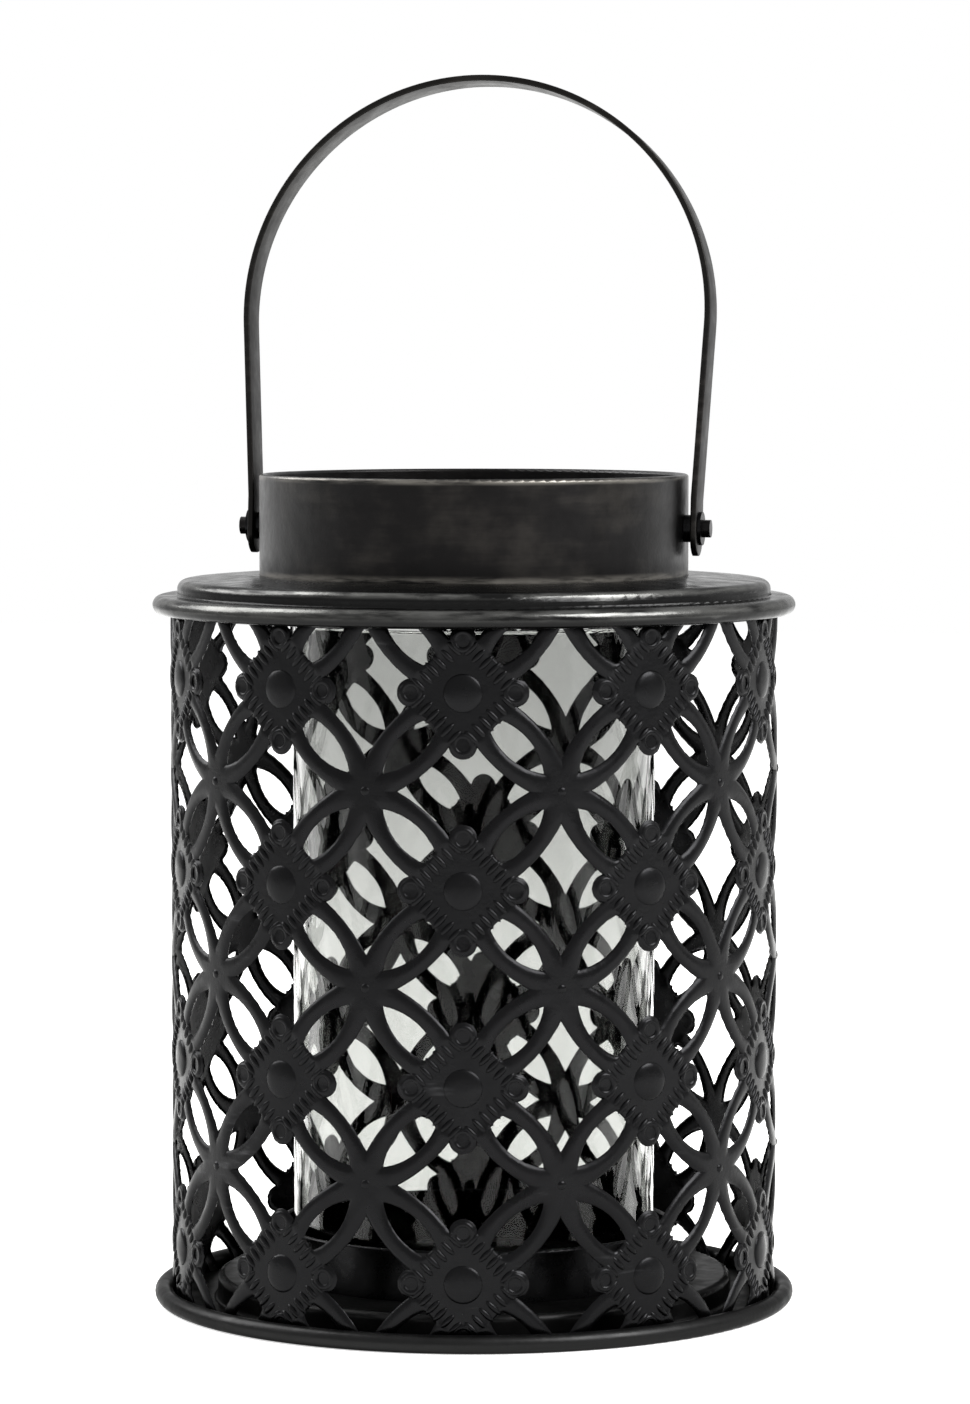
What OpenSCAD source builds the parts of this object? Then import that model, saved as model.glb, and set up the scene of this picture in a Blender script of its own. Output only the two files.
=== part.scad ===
// Candle lantern of pierced and embossed sheet iron, with a loose glass cylinder and a swinging strap handle.
// Millimetres. The origin is on the surface that the lantern stands on, at the middle of its base.
// +Z is up, and the handle turns about a line along X.

/* [Pierced mantle] */
// Outer radius of the pierced sheet
mantle_r = 100.2; // [70:0.1:140]
// Thickness of the pierced sheet
mantle_t = 0.8; // [0.5:0.1:1.5]
// Height of the pierced sheet, from the tray's floor to the shoulder
mantle_h = 233.2; // [180:0.1:300]
// Number of medallions round the sheet
columns = 10; // [8:1:12]
// Number of medallions from bottom to top
rows = 4; // [2:1:4]
// Height from one medallion to the next
row_pitch = 62.4; // [55:0.1:70]
// Height of the lowest medallion's centre above the sheet's lower edge
first_row = 20.6; // [15:0.1:30]
// Length of the almond hole in a petal
petal_hole_len = 21.6; // [16:0.1:23]
// Width of the almond hole in a petal
petal_hole_w = 8.4; // [5:0.1:10]
// Distance from a medallion's centre to a petal's hole
petal_hole_from = 14.6; // [13:0.1:16]
// Width over a petal's outline
petal_w = 19; // [16:0.1:21]
// Distance from a medallion's centre to a petal's widest place
petal_widest = 22.2; // [20:0.1:25]
// Distance from a knot's centre to where two neighbouring petals part
knot_r = 10.4; // [8:0.1:12]
// Distance from a medallion's centre to the tip of a lobe
medallion_reach = 21; // [18:0.1:23]
// Radius of a medallion's lobe
lobe_r = 4.6; // [3:0.1:5]
// Radius of the flat top of the boss in the middle of a medallion
boss_r = 3.6; // [2:0.1:5]
// Radius of the boss at its foot, on the sheet
boss_foot_r = 6.2; // [5.2:0.1:8]
// Height of the boss above the sheet
boss_h = 1.2; // [0.5:0.1:2]
// Width of the doubled strip where the sheet's ends overlap at the back
lap_w = 7; // [4:0.5:12]

/* [Rolled rims] */
// Outer radius of the rolled edge of the tray and the shoulder
rim_r = 3; // [2:0.1:4]
// Gap between the pierced sheet and the rolled edges round it
rim_gap = 0.2; // [0.1:0.05:0.5]

/* [Base tray] */
// Thickness of the tray's sheet
tray_t = 0.8; // [0.5:0.1:1.2]
// Height of the raised middle of the tray, over its upper face
tray_rise = 9; // [6:0.5:14]
// Width of the tray's floor ring, from the rolled edge's middle in to the wall of the raised middle
tray_ring_w = 17.9; // [10:0.1:22]
// Outer radius of the bends at the tray's step
tray_bend_r = 2.2; // [1.8:0.1:3]

/* [Glass holder] */
// Clearance round the glass in its holder
holder_gap = 4.2; // [1:0.1:6]
// Thickness of the holder's sheet
holder_t = 0.8; // [0.5:0.1:1.5]
// Height of the holder
holder_h = 17; // [10:0.5:30]
// Height of the hem round the holder's mouth
holder_hem_h = 1.6; // [1.2:0.1:3]
// Distance inside the glass where the holder's floor steps up to the candle's seat
seat_gap = 3; // [1:0.1:8]
// Height of the candle's seat above the floor that the glass stands on
seat_rise = 0.8; // [0.4:0.1:3]

/* [Glass cylinder] */
// Outer radius of the glass
glass_r = 60; // [40:0.5:64]
// Thickness of the glass
glass_t = 2.6; // [2:0.1:4]
// Length of the glass
glass_h = 216; // [150:1:224]

/* [Shoulder plate] */
// Thickness of the shoulder's sheet
shoulder_t = 0.8; // [0.5:0.1:1.2]
// Distance from the rolled edge's middle in to the wall of the tier
ledge_w = 5.2; // [4:0.1:8]
// Height of the tier above the ledge
tier_h = 5.2; // [4:0.1:8]
// Outer radius of the tier's upper bend
tier_bend_r = 3; // [2:0.1:3]
// Outer radius of the bend at the tier's foot
tier_foot_r = 1.6; // [1.2:0.1:2]
// Slope of the top of the shoulder, in degrees
shoulder_slope = 4.5; // [2:0.5:12]
// Width of the flat land round the collar
land_w = 4.5; // [4.2:0.1:8]

/* [Collar] */
// Outer radius of the collar
collar_r = 71; // [68:0.5:80]
// Thickness of the collar's sheet
collar_t = 1; // [0.7:0.1:1.5]
// Height of the collar above the shoulder
collar_h = 33.2; // [25:0.1:60]
// Height of the hem folded in round the collar's mouth
collar_hem_h = 4; // [3:0.1:8]
// Width of the collar's flange under the shoulder
collar_flange_w = 3.6; // [2:0.1:4]
// Gap between the collar and the edge of the shoulder's hole
collar_gap = 0.1; // [0.05:0.05:0.3]

/* [Handle] */
// Width of the strap
strap_w = 14; // [8:0.5:16]
// Thickness of the strap
strap_t = 2; // [1.5:0.1:3]
// How much further out the handle's arch bulges than its ends
arch_bulge = 3.2; // [1:0.05:12]
// Height of the arch's centre above the pivots
arch_rise = 70.8; // [50:0.1:120]
// Height of the straight ends of the strap above the pivots
tab_h = 10; // [8:0.5:20]
// Length of the strap below the pivots
strap_end = 9; // [7:0.5:10]
// Lean of the resting handle towards the back, in degrees
handle_lean = 6.5; // [0:0.5:20]
// Depth of the pivots below the collar's mouth
pivot_drop = 17.6; // [15:0.1:19]

/* [Pivots] */
// Radius of the rivet's shank
rivet_r = 2; // [1.5:0.1:2.4]
// Radius of the rivet's head
rivet_head_r = 2.9; // [2.8:0.1:5]
// Height of the rivet's head
rivet_head_h = 2.7; // [1.5:0.1:3.5]
// Radial clearance of the rivet in the strap
pivot_gap = 0.06; // [0.03:0.01:0.1]
// Clearance at each face of the strap
side_gap = 0.15; // [0.1:0.05:0.3]
// Radius of the washer outside the strap
washer_r = 5.5; // [4:0.1:5.8]
// Thickness of the washer outside the strap
washer_t = 1; // [0.6:0.1:1.5]
// Radius of the spacer between the collar and the strap
spacer_r = 4.5; // [3.5:0.1:5.8]
// Thickness of the spacer between the collar and the strap
spacer_t = 2.5; // [1.5:0.1:4]
// Radius of the burr plate inside the collar
burr_r = 4.2; // [3.5:0.1:5]
// Thickness of the burr plate inside the collar
burr_t = 1; // [0.6:0.1:1.5]
// Height of the shank's end, hammered over inside
peen_h = 0.9; // [0.6:0.1:1.5]

/* [Hidden] */

iron = "#2b2b2d";
worn_iron = "#3a3937";
clear_glass = "#dfe8e8";

// How far a cut runs past the faces that it opens
overrun = 2;
// Fineness of the large turned parts, the small parts, the ornament's arcs and the handle's arch
round_fn = 180;
small_fn = 48;
arc_fn = 96;
arch_steps = 64;

// Heights, from the surface up
mantle_bottom = tray_t;
mantle_top = mantle_bottom + mantle_h;
ledge_top = mantle_top + shoulder_t;
tier_top = ledge_top + tier_h;
rim_mid_r = mantle_r + rim_gap + rim_r;
tier_r = rim_mid_r - ledge_w;
tray_step_r = rim_mid_r - tray_ring_w;
land_r = collar_r + land_w;
slope_start_r = tier_r - tier_bend_r + tier_bend_r * sin(shoulder_slope);
slope_start_z = tier_top - tier_bend_r + tier_bend_r * cos(shoulder_slope);
land_top = slope_start_z + (slope_start_r - land_r) * tan(shoulder_slope);
collar_top = land_top + collar_h;
pivot_z = collar_top - pivot_drop;
holder_bottom = tray_rise;
glass_bottom = holder_bottom + holder_t;
holder_r = glass_r + holder_gap + holder_t;
seat_r = glass_r - glass_t - seat_gap;

// Ornament: medallions stand in a square grid, knots at the middles of its squares, petals between them
column_step = 360 / columns;
column_pitch = 2 * PI * (mantle_r - mantle_t / 2) / columns;
petal_turn = atan2(row_pitch, column_pitch);
petal_span = norm([row_pitch, column_pitch]) / 2;
// The first medallion's place round the sheet, in degrees from +X
first_column = -80;
// The hole's outline would run on to a point under the medallion, where its blunt end is cut
blunt_share = 0.2;
// Radius of a petal's outer edge, bulging from its widest place to where it parts from its neighbour
part_half = knot_r / sqrt(2);
part_run = petal_span - petal_widest - part_half;
bulge = petal_w / 2 - part_half;
petal_edge_r = (part_run * part_run + bulge * bulge) / (2 * bulge);
// The medallion's middle is a square standing on its corner, each corner inside a lobe
lobe_at = medallion_reach - lobe_r;

// Rows of medallions whose boss lies whole on the sheet; the rows above them are cut off by its upper edge
boss_rows = min(rows, floor((mantle_h - first_row - boss_foot_r) / row_pitch) + 1);

// Handle: the leg runs straight from the bend above the pivot to the arch, which it meets smoothly
strap_in = collar_r + spacer_t + side_gap;
strap_out = strap_in + strap_t;
arch_r = strap_out + arch_bulge;
leg_reach = norm([strap_out, arch_rise - tab_h]);
leg_turn = atan2(arch_rise - tab_h, strap_out) - acos(arch_r / leg_reach);
arch_z = pivot_z + arch_rise;

// A ring sector of sheet, outer radius r and thickness t, from one angle to another
module bend(at, r, t, from, to) {
    mid = (from + to) / 2;
    translate(at) intersection() {
        difference() {
            circle(r, $fn = arc_fn);
            circle(r - t, $fn = arc_fn);
        }
        polygon([[0, 0], for (a = [from, (from + mid) / 2, mid, (mid + to) / 2, to]) 2 * r * [cos(a), sin(a)]]);
    }
}

// A straight run of sheet from p to q, its thickness on the left of the way
module run(p, q, t) {
    way = (q - p) / norm(q - p);
    left = t * [-way[1], way[0]];
    polygon([p, q, q + left, p + left]);
}

// A part turned about +Z from the profile that follows
module turned() {
    rotate_extrude($fn = round_fn) children();
}

module base_tray() {
    step_in = tray_step_r - tray_bend_r;
    step_out = tray_step_r - tray_t + tray_bend_r;
    color(iron) turned() {
        run([step_in, tray_rise], [0, tray_rise], tray_t);
        bend([step_in, tray_rise - tray_bend_r], tray_bend_r, tray_t, 0, 90);
        run([tray_step_r, tray_bend_r], [tray_step_r, tray_rise - tray_bend_r], tray_t);
        bend([step_out, tray_bend_r], tray_bend_r, tray_t, 180, 270);
        run([step_out, 0], [rim_mid_r, 0], tray_t);
        bend([rim_mid_r, rim_r], rim_r, tray_t, -90, 45);
        bend([rim_mid_r, rim_r], rim_r, tray_t, 45, 200);
    }
}

module glass_holder() {
    hem_mid = holder_r;
    mouth = holder_bottom + holder_h;
    color(iron) turned() {
        translate([0, holder_bottom + seat_rise]) square([seat_r, holder_t]);
        translate([seat_r - holder_t, holder_bottom]) square([holder_t, holder_t + seat_rise]);
        translate([seat_r - holder_t, holder_bottom]) square([holder_r - seat_r + holder_t, holder_t]);
        translate([holder_r - holder_t, holder_bottom]) square([holder_t, holder_h - holder_t]);
        translate([holder_r - holder_t, mouth - holder_hem_h]) square([2 * holder_t, holder_hem_h - holder_t]);
        intersection() {
            translate([hem_mid, mouth - holder_t]) circle(holder_t, $fn = arc_fn);
            translate([hem_mid - holder_t, mouth - holder_t]) square(2 * holder_t);
        }
    }
}

module glass_cylinder() {
    lip = glass_t / 2;
    color(clear_glass, 0.35) turned() {
        translate([glass_r - glass_t, glass_bottom]) square([glass_t, glass_h - lip]);
        intersection() {
            translate([glass_r - lip, glass_bottom + glass_h - lip]) circle(lip, $fn = arc_fn);
            translate([glass_r - glass_t, glass_bottom + glass_h - lip]) square(glass_t);
        }
    }
}

// A cutter or raised form: the outline that follows, square to the sheet at one place on it
module on_sheet(turn, z, from, to) {
    rotate([0, 0, turn]) translate([from, 0, z]) rotate([90, 0, 90]) linear_extrude(to - from) children();
}

// The hole of a petal that runs along +X from its medallion: pointed at the knot, blunt at the medallion
module petal_hole() {
    full = petal_hole_len * (1 + blunt_share);
    side_r = (full * full / 4 + petal_hole_w * petal_hole_w / 4) / petal_hole_w;
    end_r = petal_hole_len / 2;
    middle = petal_hole_from + petal_hole_len - full / 2;
    intersection() {
        translate([middle, side_r - petal_hole_w / 2]) circle(side_r, $fn = arc_fn);
        translate([middle, petal_hole_w / 2 - side_r]) circle(side_r, $fn = arc_fn);
        translate([petal_hole_from + end_r, 0]) circle(end_r, $fn = arc_fn);
    }
}

// A medallion's outline: a square on its corner, and a round lobe over each corner
module medallion() {
    rotate(45) square(sqrt(2) * medallion_reach - lobe_r / 2, center = true);
    for (a = [0:90:270]) rotate(a) translate([lobe_at, 0]) circle(lobe_r, $fn = arc_fn);
}

// The four-cornered opening between two medallions and two knots, with the medallions on the X or the Y axis
module opening(medallions_on_y) {
    half_x = column_pitch / 2;
    half_y = row_pitch / 2;
    difference() {
        polygon([[half_x, 0], [0, half_y], [-half_x, 0], [0, -half_y]]);
        for (sx = [-1, 1], sy = [-1, 1]) {
            from = medallions_on_y ? [0, sy * half_y] : [sx * half_x, 0];
            to = medallions_on_y ? [sx * half_x, 0] : [0, sy * half_y];
            way = (to - from) / norm(to - from);
            outward = [sx * abs(way[1]), sy * abs(way[0])];
            translate(from + petal_widest * way + (petal_edge_r - petal_w / 2) * outward)
                circle(petal_edge_r, $fn = arc_fn);
        }
        for (s = [-1, 1]) translate(medallions_on_y ? [0, s * half_y] : [s * half_x, 0]) medallion();
    }
}

// What follows stands on the middle of every medallion in the lowest rows, as many as count says
module at_medallions(count) {
    for (c = [0:columns - 1], r = [0:count - 1])
        rotate([0, 0, first_column + c * column_step])
            translate([0, 0, mantle_bottom + first_row + r * row_pitch]) children();
}

// The boss pressed out in the middle of a medallion, on the +X side of the sheet
module boss() {
    translate([mantle_r - mantle_t / 2, 0, 0]) rotate([0, 90, 0])
        cylinder(h = mantle_t / 2 + boss_h, r1 = boss_foot_r, r2 = boss_r, $fn = small_fn);
}

module pierced_mantle() {
    inner = mantle_r - mantle_t;
    lap_half = lap_w / 2 / mantle_r * 180 / PI;
    lap_turn = first_column + column_step * (floor(columns / 2) + 1 / 2);
    cut_from = inner - mantle_t - overrun;
    cut_to = mantle_r + boss_h + overrun;
    color(iron) difference() {
        union() {
            turned() translate([inner, mantle_bottom]) square([mantle_t, mantle_h]);
            rotate([0, 0, lap_turn - lap_half]) rotate_extrude(angle = 2 * lap_half, $fn = round_fn)
                translate([inner - mantle_t, mantle_bottom]) square([3 / 2 * mantle_t, mantle_h]);
            at_medallions(boss_rows) boss();
        }
        at_medallions(rows) {
            for (side = [-1, 1], up = [-1, 1])
                on_sheet(side * column_step / 4, 0, cut_from, cut_to)
                    translate([-side * column_pitch / 4, 0])
                        mirror([side < 0 ? 1 : 0, 0]) rotate(up * petal_turn) petal_hole();
            on_sheet(column_step / 2, 0, cut_from, cut_to) opening(false);
        }
        for (c = [0:columns - 1], r = [0:rows - 2])
            on_sheet(first_column + c * column_step, mantle_bottom + first_row + (r + 1 / 2) * row_pitch,
                cut_from, cut_to) opening(true);
    }
}

module shoulder_plate() {
    rim_z = ledge_top - rim_r;
    tier_in = tier_r - tier_bend_r;
    foot_out = tier_r - shoulder_t + tier_foot_r;
    slope_in = [land_r, land_top];
    hole_r = collar_r + collar_gap;
    color(iron) turned() {
        bend([rim_mid_r, rim_z], rim_r, shoulder_t, -200, -45);
        bend([rim_mid_r, rim_z], rim_r, shoulder_t, -45, 90);
        run([rim_mid_r, ledge_top], [foot_out, ledge_top], shoulder_t);
        bend([foot_out, ledge_top - shoulder_t + tier_foot_r], tier_foot_r, shoulder_t, 180, 270);
        run([tier_r, ledge_top - shoulder_t + tier_foot_r], [tier_r, tier_top - tier_bend_r], shoulder_t);
        bend([tier_in, tier_top - tier_bend_r], tier_bend_r, shoulder_t, 0, 90 - shoulder_slope);
        run([slope_start_r, slope_start_z], slope_in, shoulder_t);
        run(slope_in, [hole_r, land_top], shoulder_t);
    }
}

module collar() {
    mouth_mid = collar_r - collar_t;
    flange_top = land_top - shoulder_t;
    color(worn_iron) difference() {
        turned() {
            translate([collar_r - collar_t, flange_top - collar_t])
                square([collar_t, collar_top - collar_t - flange_top + collar_t]);
            translate([collar_r - collar_t, flange_top - collar_t]) square([collar_t + collar_flange_w, collar_t]);
            translate([collar_r - 2 * collar_t, collar_top - collar_hem_h])
                square([2 * collar_t, collar_hem_h - collar_t]);
            intersection() {
                translate([mouth_mid, collar_top - collar_t]) circle(collar_t, $fn = arc_fn);
                translate([mouth_mid - collar_t, collar_top - collar_t]) square(2 * collar_t);
            }
        }
        for (side = [-1, 1])
            translate([side * (collar_r - collar_t - overrun), 0, pivot_z]) rotate([0, side * 90, 0])
                cylinder(h = collar_t + 2 * overrun, r = rivet_r + pivot_gap, $fn = small_fn);
    }
}

// Points on the strap's side view, inset from its outer face, from the right end over the arch to the left end
function strap_side(inset) = concat(
    [[strap_out - inset, -strap_end], [strap_out - inset, tab_h]],
    [for (i = [0:arch_steps]) let (a = -leg_turn + i * (180 + 2 * leg_turn) / arch_steps)
        [0, arch_rise] + (arch_r - inset) * [cos(a), sin(a)]],
    [[inset - strap_out, tab_h], [inset - strap_out, -strap_end]]);

function reversed(list) = [for (i = [len(list) - 1:-1:0]) list[i]];

module handle_strap() {
    reach = arch_r + overrun;
    round_r = strap_w / 2;
    color(worn_iron) translate([0, 0, pivot_z]) rotate([-handle_lean, 0, 0]) difference() {
        intersection() {
            rotate([90, 0, 0]) linear_extrude(strap_w, center = true)
                polygon(concat(strap_side(0), reversed(strap_side(strap_t))));
            // Round ends
            union() {
                translate([-reach, -round_r, round_r - strap_end])
                    cube([2 * reach, strap_w, arch_rise + reach + strap_end]);
                translate([0, 0, round_r - strap_end]) rotate([0, 90, 0])
                    cylinder(h = 2 * reach, r = round_r, center = true, $fn = arc_fn);
            }
        }
        rotate([0, 90, 0]) cylinder(h = 2 * reach, r = rivet_r + pivot_gap, center = true, $fn = small_fn);
    }
}

// What follows is placed on one pivot, along +X from the collar's outside; side is -1 at the left
module at_pivot(side) {
    translate([side * collar_r, 0, pivot_z]) rotate([0, side * 90, 0]) children();
}

washer_at = spacer_t + strap_t + 2 * side_gap;
head_at = washer_at + washer_t;
// The burr plate's rim touches the collar's hollow side
burr_at = sqrt(pow(collar_r - collar_t, 2) - burr_r * burr_r) - collar_r;
shank_end = burr_at - burr_t;

module rivet(side) {
    color(worn_iron) at_pivot(side) {
        translate([0, 0, shank_end]) cylinder(h = head_at - shank_end, r = rivet_r, $fn = small_fn);
        translate([0, 0, head_at]) cylinder(h = rivet_head_h, r = rivet_head_r, $fn = small_fn);
        translate([0, 0, shank_end - peen_h]) cylinder(h = peen_h, r = rivet_r + pivot_gap + peen_h, $fn = small_fn);
    }
}

// A plate with a hole for the rivet, starting at a distance out from the collar's outside
module plate(side, at, r, t) {
    color(iron) at_pivot(side) translate([0, 0, at]) difference() {
        cylinder(h = t, r = r, $fn = small_fn);
        translate([0, 0, -overrun]) cylinder(h = t + 2 * overrun, r = rivet_r + pivot_gap, $fn = small_fn);
    }
}

module pivot_rivet_left() { rivet(-1); }
module pivot_rivet_right() { rivet(1); }
module outer_washer_left() { plate(-1, washer_at, washer_r, washer_t); }
module outer_washer_right() { plate(1, washer_at, washer_r, washer_t); }
module spacer_washer_left() { plate(-1, 0, spacer_r, spacer_t); }
module spacer_washer_right() { plate(1, 0, spacer_r, spacer_t); }
module rivet_burr_left() { plate(-1, burr_at - burr_t, burr_r, burr_t); }
module rivet_burr_right() { plate(1, burr_at - burr_t, burr_r, burr_t); }

base_tray();
glass_holder();
glass_cylinder();
pierced_mantle();
shoulder_plate();
collar();
handle_strap();
pivot_rivet_left();
pivot_rivet_right();
outer_washer_left();
outer_washer_right();
spacer_washer_left();
spacer_washer_right();
rivet_burr_left();
rivet_burr_right();
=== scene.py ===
# %% [markdown]
# # A candle lantern of pierced sheet iron
#
# The lantern is a rolled sheet of blackened iron, pressed into petals and medallions, between a tray with
# a rolled rim and a stepped shoulder. A short collar carries a strap handle on two rivets, and a loose
# glass cylinder stands inside. The exact solids come first, as a fixed frame, and everything else is
# dressed onto it. Lengths are in metres, because Blender's lights and materials expect real sizes.

# %% Load the fixed frame
import math
from itertools import product

import bmesh
import bpy
import numpy as np
from mathutils import Matrix, Vector


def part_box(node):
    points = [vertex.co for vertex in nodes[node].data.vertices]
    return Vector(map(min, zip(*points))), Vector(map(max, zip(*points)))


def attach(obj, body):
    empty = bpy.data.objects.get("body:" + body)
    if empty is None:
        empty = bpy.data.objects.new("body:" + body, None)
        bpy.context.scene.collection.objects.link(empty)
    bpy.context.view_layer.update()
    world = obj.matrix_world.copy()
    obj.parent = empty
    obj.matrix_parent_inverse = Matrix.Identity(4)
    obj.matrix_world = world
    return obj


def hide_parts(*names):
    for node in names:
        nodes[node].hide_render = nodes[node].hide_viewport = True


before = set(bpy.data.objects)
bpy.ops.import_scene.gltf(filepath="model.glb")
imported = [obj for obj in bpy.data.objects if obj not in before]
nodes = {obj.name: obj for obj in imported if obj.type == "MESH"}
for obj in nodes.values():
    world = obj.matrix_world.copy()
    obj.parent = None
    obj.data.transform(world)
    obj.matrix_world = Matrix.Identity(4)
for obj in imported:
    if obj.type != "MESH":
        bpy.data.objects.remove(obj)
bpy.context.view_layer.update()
MM = 0.001
print("solid pieces:", ", ".join(sorted(nodes)))

# %% [markdown]
# ## Seeing it from where the photograph was taken
#
# A long lens a little above the middle of the lantern gives calm, almost parallel verticals and rims that
# open into thin ellipses. The place was found by matching the rims' ellipses and the height of the pivots,
# so it is written here as a turn round the lantern, a distance and a height, and the lens as millimetres
# on a 36 mm tall frame.

# %% Camera
scene = bpy.context.scene
CAMERA_TURN = math.radians(12)
CAMERA_DISTANCE = 1.788
CAMERA_HEIGHT = 0.321
CAMERA_DIP = 0.0681
CAMERA_YAW = math.radians(-0.117)


def place_round(turn, distance, height):
    """A place beside the lantern, by its turn from the front, its distance from the axis and its height."""
    return distance * math.sin(turn), -distance * math.cos(turn), height


lens = bpy.data.cameras.new("long lens")
lens.sensor_fit = "VERTICAL"
lens.sensor_height = 36
lens.lens = 138.46
lens.clip_end = 20
camera = bpy.data.objects.new("camera", lens)
scene.collection.objects.link(camera)
camera.location = place_round(CAMERA_TURN, CAMERA_DISTANCE, CAMERA_HEIGHT)
camera.rotation_euler = (math.pi / 2 - CAMERA_DIP, 0, CAMERA_TURN + CAMERA_YAW)
scene.camera = camera
print("camera at", [round(v, 3) for v in camera.location])

# %% [markdown]
# ## Helpers
#
# Colours are written as sRGB hex values, as a picture editor shows them, and turned to the linear values
# that the shader works in. One small function adds a node with its settings and its links, so a material
# or a geometry tree reads as a list. The settings that many nodes share have short names, such as TIMES.

# %% Colours and nodes
def linear(hex_colour):
    """An sRGB hex value as linear red, green, blue and full alpha."""
    parts = [int(hex_colour[i:i + 2], 16) / 255 for i in (1, 3, 5)]
    return (*[v / 12.92 if v <= 0.04045 else ((v + 0.055) / 1.055) ** 2.4 for v in parts], 1)


def add(tree, kind, settings=None, **sockets):
    """Adds a node. A socket takes a plain value, or a link from an output or from a node's first output."""
    node = tree.nodes.new(kind)
    for name, value in (settings or {}).items():
        setattr(node, name, value)
    for name, value in sockets.items():
        key = int(name[1:]) if name[1:].isdigit() else name.replace("_", " ")
        if isinstance(value, bpy.types.Node):
            value = value.outputs[0]
        if isinstance(value, bpy.types.NodeSocket):
            tree.links.new(value, node.inputs[key])
        else:
            node.inputs[key].default_value = value
    return node


def new_material(name):
    """A material with nothing in it yet, and its node tree."""
    material = bpy.data.materials.new(name)
    material.use_nodes = True
    material.node_tree.nodes.clear()
    return material, material.node_tree


PLUS, MINUS, TIMES, OVER = [{"operation": word} for word in ("ADD", "SUBTRACT", "MULTIPLY", "DIVIDE")]
SMALLER, LARGER = {"operation": "MINIMUM"}, {"operation": "MAXIMUM"}
SMOOTH = {"interpolation_type": "SMOOTHSTEP"}
print("iron black as linear:", [round(v, 4) for v in linear("#242425")[:3]])

# %% [markdown]
# ## Light, floor and background
#
# The photograph was lit from both sides and hardly from the front: the rims carry a long highlight at the
# left, the cut edges and ridges a small one towards the upper right, and the middle stays dark. A wide
# area lamp a little behind the left side and a smaller, stronger one at the right, both well above the
# lantern, do that here, and a weak low one lifts the right edge. The world and the floor are white only to
# the camera, to reflections and through the glass, so the background is clean while the metal keeps its
# depth. A lamp in front would be simpler, but it would flatten the pressed relief. Close to the lantern
# the floor adds less white of its own, so its shadow stays.

# %% World
def looked_at(tree):
    """1 where the camera, a reflection or the glass looks at a surface, 0 where it only passes light on."""
    path = add(tree, "ShaderNodeLightPath").outputs
    seen = add(tree, "ShaderNodeMath", LARGER, _0=path["Is Camera Ray"], _1=path["Is Transmission Ray"])
    return add(tree, "ShaderNodeMath", LARGER, _0=seen, _1=path["Is Glossy Ray"])


ROOM_LIGHT = 0.3

world = bpy.data.worlds.new("studio")
world.use_nodes = True
scene.world = world
tree = world.node_tree
tree.nodes.clear()
dim = add(tree, "ShaderNodeBackground", Color=linear("#ffffff"), Strength=ROOM_LIGHT)
white = add(tree, "ShaderNodeBackground", Color=linear("#ffffff"), Strength=1)
sky = add(tree, "ShaderNodeMixShader", _0=looked_at(tree), _1=dim, _2=white)
add(tree, "ShaderNodeOutputWorld", Surface=sky)
scene.view_settings.view_transform = "Standard"
print("world:", world.name, "at", ROOM_LIGHT)

# %% Floor
FLOOR_HALF = 4
SHADOW_FROM, SHADOW_TO = 0.12, 0.4
GLOW_IN_SHADOW = 0.62

mesh = bpy.data.meshes.new("floor")
mesh.from_pydata([(x * FLOOR_HALF, y * FLOOR_HALF, 0) for x, y in ((-1, -1), (1, -1), (1, 1), (-1, 1))], [],
                 [(0, 1, 2, 3)])
floor = bpy.data.objects.new("floor", mesh)
scene.collection.objects.link(floor)
paper, tree = new_material("white paper sweep")
matt = add(tree, "ShaderNodeBsdfDiffuse", Color=linear("#f4f4f2"))
place = add(tree, "ShaderNodeTexCoord").outputs["Object"]
from_lantern = add(tree, "ShaderNodeVectorMath", {"operation": "LENGTH"}, _0=place).outputs["Value"]
lift = add(tree, "ShaderNodeMapRange", SMOOTH, Value=from_lantern, From_Min=SHADOW_FROM, From_Max=SHADOW_TO,
           To_Min=GLOW_IN_SHADOW, To_Max=1)
lift = add(tree, "ShaderNodeMath", TIMES, _0=lift, _1=looked_at(tree))
glow = add(tree, "ShaderNodeEmission", Color=linear("#ffffff"), Strength=lift)
both = add(tree, "ShaderNodeAddShader", _0=matt, _1=glow)
add(tree, "ShaderNodeOutputMaterial", Surface=both)
mesh.materials.append(paper)
print("floor:", 2 * FLOOR_HALF, "m square")

# %% Soft boxes
LAMPS_LOOK_AT = Vector((0, 0, 0.2))


def soft_box(name, turn, height, distance, width, tall, power):
    """A rectangular lamp that looks at the middle of the lantern. The turn is in degrees from the front."""
    lamp = bpy.data.lights.new(name, "AREA")
    lamp.shape = "RECTANGLE"
    lamp.size, lamp.size_y, lamp.energy = width, tall, power
    box = bpy.data.objects.new(name, lamp)
    scene.collection.objects.link(box)
    box.location = place_round(math.radians(turn), distance, height)
    box.rotation_euler = (LAMPS_LOOK_AT - box.location).to_track_quat("-Z", "Y").to_euler()


soft_box("left soft box", -104, 1.3, 1.4, 1.2, 1.4, 50)
soft_box("right soft box", 70, 1.3, 1.35, 1.1, 1, 60)
soft_box("low soft box", 124, 0.3, 1.6, 0.6, 1.4, 2)

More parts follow.
